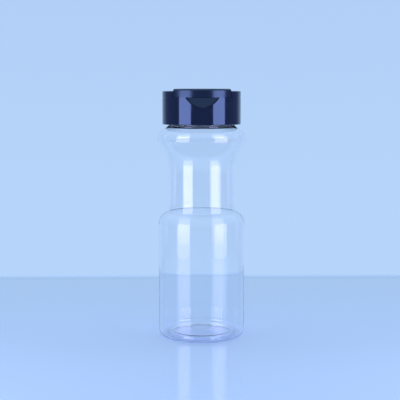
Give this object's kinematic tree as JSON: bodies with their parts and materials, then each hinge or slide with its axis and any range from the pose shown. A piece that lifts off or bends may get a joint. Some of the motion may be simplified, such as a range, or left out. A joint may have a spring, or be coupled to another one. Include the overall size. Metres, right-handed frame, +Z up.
{
  "type": "spice shaker jar",
  "caption": "Clear waisted spice bottle with a black screw closure: a flip door over sifting holes in front, and one over a pouring opening behind.",
  "frame": {"origin": "centre of the foot ring, on the surface that the jar stands on", "axes": "+Z up along the bottle's axis, -Y towards the front, where the sifting door opens"},
  "size_m": [0.0558, 0.0558, 0.1582],
  "materials": {
    "clear_plastic": "clear, polished",
    "black_plastic": "moulded, glossy",
    "seal_foam": "matt foam"
  },
  "bodies": {
    "bottle": {"bottle": "clear_plastic"},
    "seal": {"mouth_seal": "seal_foam"},
    "closure": {"closure_body": "black_plastic", "sift_hinge_web": "black_plastic", "pour_hinge_web": "black_plastic"},
    "sift_door": {"sift_door": "black_plastic"},
    "pour_door": {"pour_door": "black_plastic"}
  },
  "joints": [
    {"name": "closure_lift", "type": "slide", "parent": "bottle", "child": "seal", "axis": [0, 0, 1], "range_m": [0, 0.0053]},
    {"name": "closure_turn", "type": "hinge", "parent": "seal", "child": "closure", "pos_m": [0, 0, 0.145], "axis": [0, 0, 1], "range_deg": [0, 450]},
    {"name": "sift_door_hinge", "type": "hinge", "parent": "closure", "child": "sift_door", "pos_m": [0, -0.0045, 0.15807], "axis": [-1, 0, 0], "range_deg": [0, 100], "deforming": ["sift_hinge_web"]},
    {"name": "pour_door_hinge", "type": "hinge", "parent": "closure", "child": "pour_door", "pos_m": [0, 0.0045, 0.15807], "axis": [1, 0, 0], "range_deg": [0, 100], "deforming": ["pour_hinge_web"]}
  ],
  "couplings": [
    {"joint": "closure_lift", "follows": "closure_turn", "m_per_rad": 0.00067322}
  ]
}
